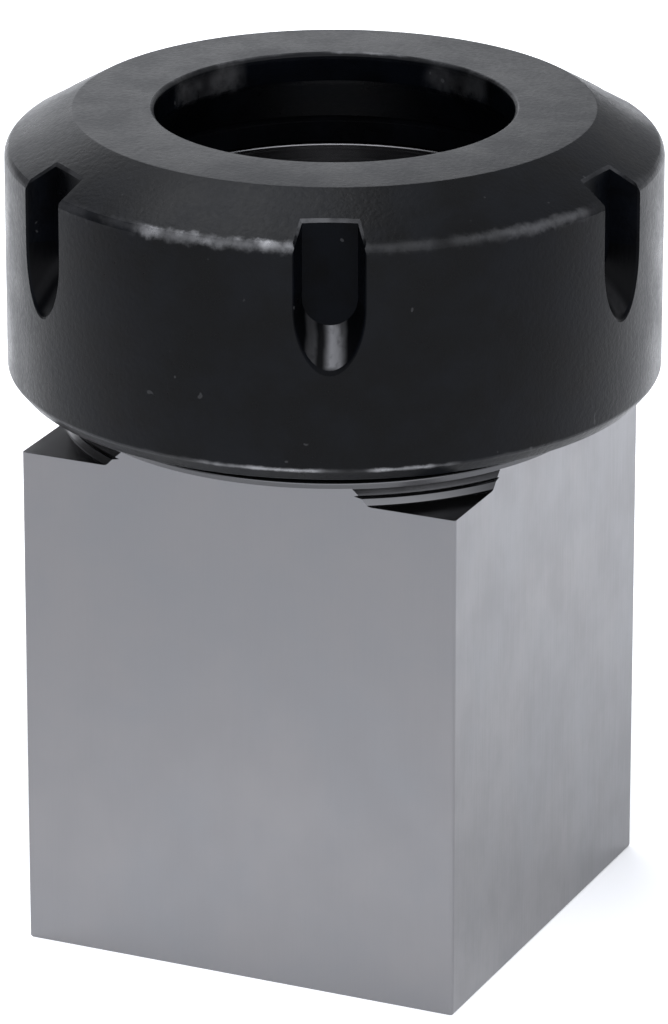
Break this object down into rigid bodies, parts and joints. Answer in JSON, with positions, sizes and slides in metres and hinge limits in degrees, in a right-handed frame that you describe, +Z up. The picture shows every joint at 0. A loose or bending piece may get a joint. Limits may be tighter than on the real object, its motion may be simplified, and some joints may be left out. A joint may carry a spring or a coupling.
{
  "type": "collet block",
  "caption": "Square steel block with a taper seat for spring collets and a slotted clamping nut on its threaded nose.",
  "frame": {"origin": "centre of the block's base face, on the collet axis", "axes": "+Z up the collet axis from the base to the nut's face, X and Y square to the block's ground sides"},
  "size_m": [0.063, 0.063, 0.0815],
  "materials": {
    "ground_steel": "fine ground",
    "blackened_steel": "black oxide"
  },
  "bodies": {
    "block": {"square_block": "ground_steel"},
    "nut": {"clamping_nut": "blackened_steel"}
  },
  "joints": [
    {"name": "nut_turn", "type": "hinge", "parent": "block", "child": "nut", "pos_m": [0, 0, 0.07], "axis": [0, 0, 1], "range_deg": [0, 3510]}
  ]
}
